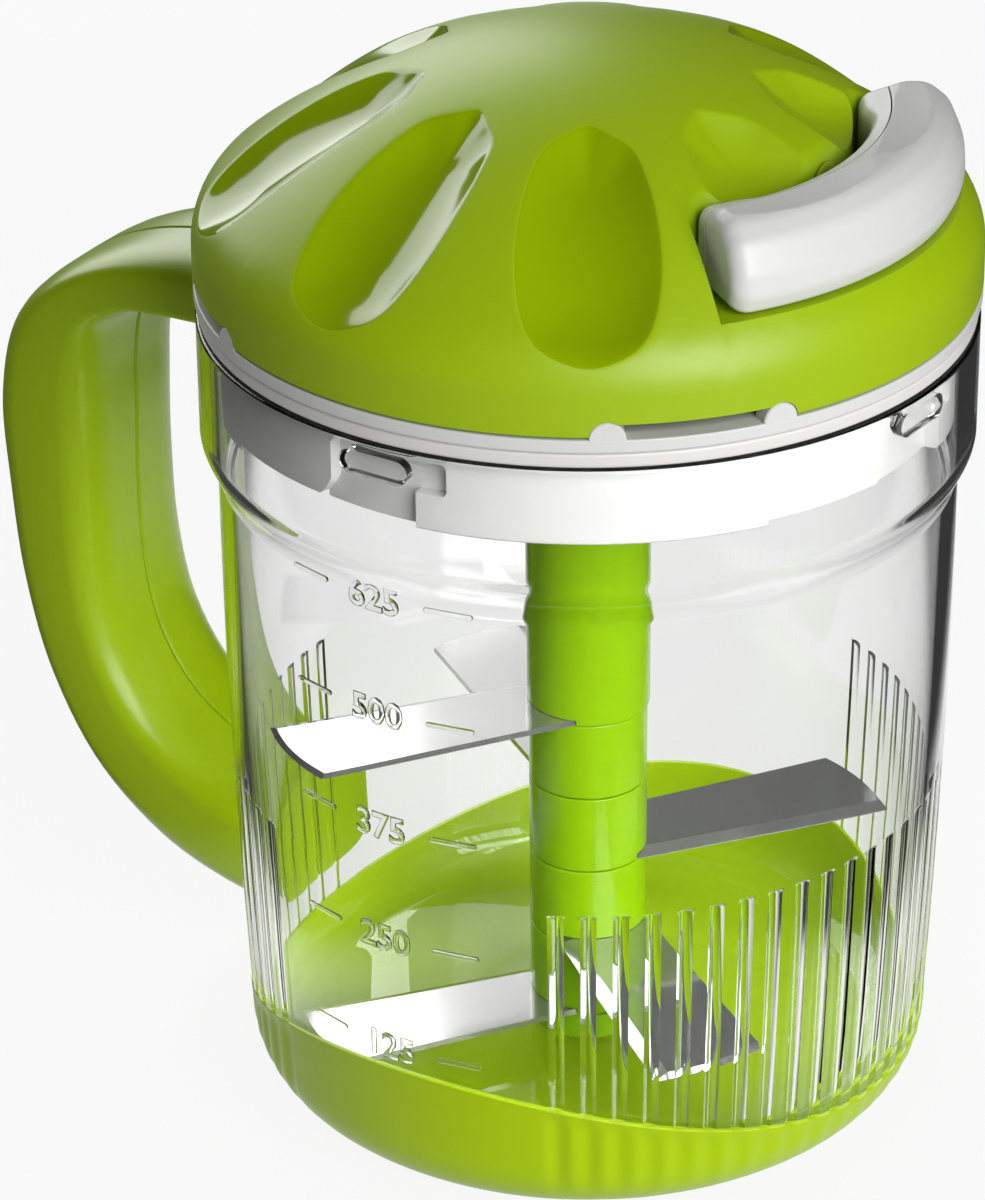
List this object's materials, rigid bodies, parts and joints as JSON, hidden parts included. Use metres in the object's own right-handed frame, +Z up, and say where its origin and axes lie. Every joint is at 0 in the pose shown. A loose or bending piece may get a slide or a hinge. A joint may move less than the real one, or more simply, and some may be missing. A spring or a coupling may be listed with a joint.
{
  "type": "crank food chopper",
  "caption": "Hand food chopper with a pull cord: clear measuring jar with side handle, stacked blades on a spindle, domed lid with cord reel and pull grip.",
  "frame": {"origin": "middle of the base on the table, on the spindle's axis", "axes": "+Z up along the spindle, the side handle points to -X, the pull grip and its cord to +X"},
  "size_m": [0.1483, 0.108, 0.1577],
  "materials": {
    "clear_plastic": "clear gloss",
    "green_plastic": "fine matte grain",
    "bright_green_plastic": "gloss",
    "white_plastic": "satin",
    "acetal": "satin",
    "grey_seal": "matte",
    "cord": "braided",
    "blade_steel": "brushed",
    "hardware_steel": "plain"
  },
  "bodies": {
    "jar": {"jar_bowl": "clear_plastic", "base_cup": "green_plastic", "handle_front_half": "green_plastic", "handle_rear_half": "green_plastic"},
    "seal": {"lid_gasket": "grey_seal"},
    "lid": {"lid_base": "white_plastic", "lid_dome": "green_plastic", "lid_screw_1": "hardware_steel", "lid_screw_2": "hardware_steel", "lid_screw_3": "hardware_steel", "hub_bush": "acetal", "reel_axle": "hardware_steel", "cord_eyelet": "green_plastic", "recoil_spring": "hardware_steel", "cord_run": "cord"},
    "hub": {"drive_hub": "white_plastic"},
    "reel": {"cord_reel": "acetal", "cord_wound": "cord", "pawl_carrier": "acetal", "pawl_1": "hardware_steel", "pawl_2": "hardware_steel"},
    "grip": {"grip_inner_shell": "white_plastic", "grip_outer_shell": "white_plastic", "cord_knot": "cord", "cord_lead": "cord"},
    "spindle": {"spindle_top": "bright_green_plastic", "spindle_core": "hardware_steel", "spindle_foot": "bright_green_plastic", "blade_1": "blade_steel", "blade_2": "blade_steel", "blade_3": "blade_steel", "blade_4": "blade_steel", "blade_5": "blade_steel", "spacer_1": "bright_green_plastic", "spacer_2": "bright_green_plastic", "spacer_3": "bright_green_plastic", "spacer_4": "bright_green_plastic"}
  },
  "joints": [
    {"name": "lid_lift", "type": "slide", "parent": "jar", "child": "seal", "axis": [0, 0, 1], "range_m": [0, 0.13]},
    {"name": "lid_twist", "type": "hinge", "parent": "seal", "child": "lid", "pos_m": [0, 0, 0.122], "axis": [0, 0, 1], "range_deg": [-5, 0]},
    {"name": "pull_slide", "type": "slide", "parent": "lid", "child": "grip", "axis": [1, 0, 0], "range_m": [0, 0.35], "stiffness_N_per_m": 12, "springref_m": -0.45},
    {"name": "reel_spin", "type": "hinge", "parent": "lid", "child": "reel", "pos_m": [0, 0, 0.139], "axis": [0, 0, 1], "range_deg": [0, 1300]},
    {"name": "hub_spin", "type": "hinge", "parent": "lid", "child": "hub", "pos_m": [0, 0, 0.11], "axis": [0, 0, 1], "range_deg": [0, 1300]},
    {"name": "spindle_spin", "type": "hinge", "parent": "jar", "child": "spindle", "pos_m": [0, 0, 0.05], "axis": [0, 0, 1], "range_deg": [0, 1300]}
  ],
  "couplings": [
    {"joint": "reel_spin", "follows": "pull_slide", "rad_per_m": 64},
    {"joint": "hub_spin", "follows": "pull_slide", "rad_per_m": 64},
    {"joint": "spindle_spin", "follows": "pull_slide", "rad_per_m": 64}
  ]
}
